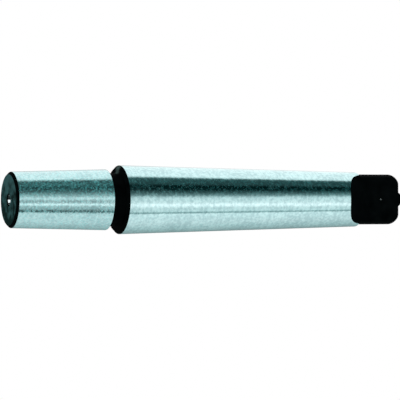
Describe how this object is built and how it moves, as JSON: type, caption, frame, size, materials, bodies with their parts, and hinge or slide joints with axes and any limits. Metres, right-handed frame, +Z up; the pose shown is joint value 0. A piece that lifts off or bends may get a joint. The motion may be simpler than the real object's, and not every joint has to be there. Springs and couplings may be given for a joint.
{
  "type": "drill chuck arbor",
  "caption": "One-piece steel arbor with a chuck taper at one end and a tanged machine taper shank at the other, which carries a drill chuck in a spindle.",
  "frame": {"origin": "middle of the chuck end's flat face, which the arbor stands on", "axes": "+Z up the arbor's axis from the chuck end to the tang; the tang's two flats face -Y and +Y; +X along the flats' width"},
  "size_m": [0.018, 0.018, 0.111],
  "materials": {
    "hardened_steel": "both tapers ground bright, end face, neck and tang left black from hardening"
  },
  "bodies": {
    "root": {"chuck_arbor": "hardened_steel"}
  },
  "joints": []
}
